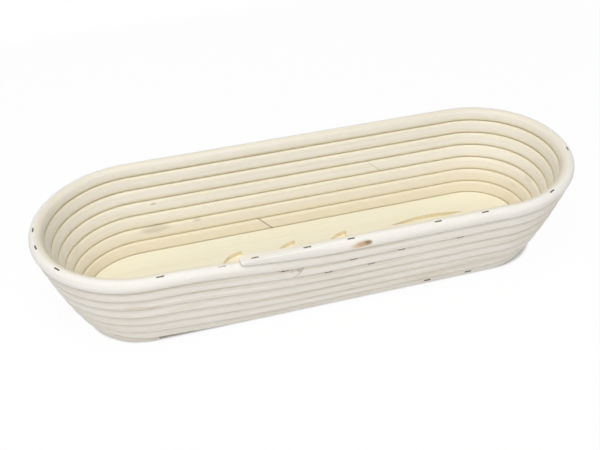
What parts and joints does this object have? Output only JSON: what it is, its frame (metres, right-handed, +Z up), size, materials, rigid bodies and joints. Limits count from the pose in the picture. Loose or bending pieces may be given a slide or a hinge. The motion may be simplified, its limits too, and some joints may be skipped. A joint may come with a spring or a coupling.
{
  "type": "proofing basket",
  "caption": "Long oval proofing basket: rattan cane wound in a leaning spiral wall round a plywood board with a milled wheat ear, held with wire staples, for shaping bread dough.",
  "frame": {"origin": "on the board's underside, below the middle of the whole basket, on the surface that it stands on", "axes": "+Z up, X along the basket's length, Y across it; the side where the spiral climbs faces -Y"},
  "size_m": [0.42, 0.1536, 0.0803],
  "materials": {
    "rattan": "bare peeled rattan cane, satin, fine lengthwise fibre",
    "plywood": "bare sanded plywood, matt, plies showing at the edge and in the milled recesses",
    "staple_wire": "plain steel wire, dulled"
  },
  "bodies": {
    "root": {"base_board": "plywood", "cane_1": "rattan", "cane_2": "rattan", "cane_3": "rattan", "cane_4": "rattan", "rim_staple_1": "staple_wire", "rim_staple_2": "staple_wire", "rim_staple_3": "staple_wire", "rim_staple_4": "staple_wire", "rim_staple_5": "staple_wire", "rim_staple_6": "staple_wire", "rim_staple_7": "staple_wire", "rim_staple_8": "staple_wire", "rim_staple_9": "staple_wire", "rim_staple_10": "staple_wire", "rim_staple_11": "staple_wire", "rim_staple_12": "staple_wire", "rim_staple_13": "staple_wire", "rim_staple_14": "staple_wire", "rim_staple_15": "staple_wire", "rim_staple_16": "staple_wire", "rim_staple_17": "staple_wire", "rim_staple_18": "staple_wire", "face_staple_1": "staple_wire", "face_staple_2": "staple_wire", "face_staple_3": "staple_wire", "face_staple_4": "staple_wire", "face_staple_5": "staple_wire", "face_staple_6": "staple_wire", "toe_staple_1": "staple_wire", "toe_staple_2": "staple_wire", "board_staple_1": "staple_wire", "board_staple_2": "staple_wire", "board_staple_3": "staple_wire", "board_staple_4": "staple_wire", "board_staple_5": "staple_wire", "board_staple_6": "staple_wire", "board_staple_7": "staple_wire", "course_staple_1_1": "staple_wire", "course_staple_1_2": "staple_wire", "course_staple_1_3": "staple_wire", "course_staple_1_4": "staple_wire", "course_staple_2_1": "staple_wire", "course_staple_2_2": "staple_wire", "course_staple_2_3": "staple_wire", "course_staple_2_4": "staple_wire", "course_staple_3_1": "staple_wire", "course_staple_3_2": "staple_wire", "course_staple_3_3": "staple_wire", "course_staple_3_4": "staple_wire", "course_staple_4_1": "staple_wire", "course_staple_4_2": "staple_wire", "course_staple_4_3": "staple_wire", "course_staple_4_4": "staple_wire", "course_staple_5_1": "staple_wire", "course_staple_5_2": "staple_wire", "course_staple_5_3": "staple_wire", "course_staple_5_4": "staple_wire"}
  },
  "joints": []
}
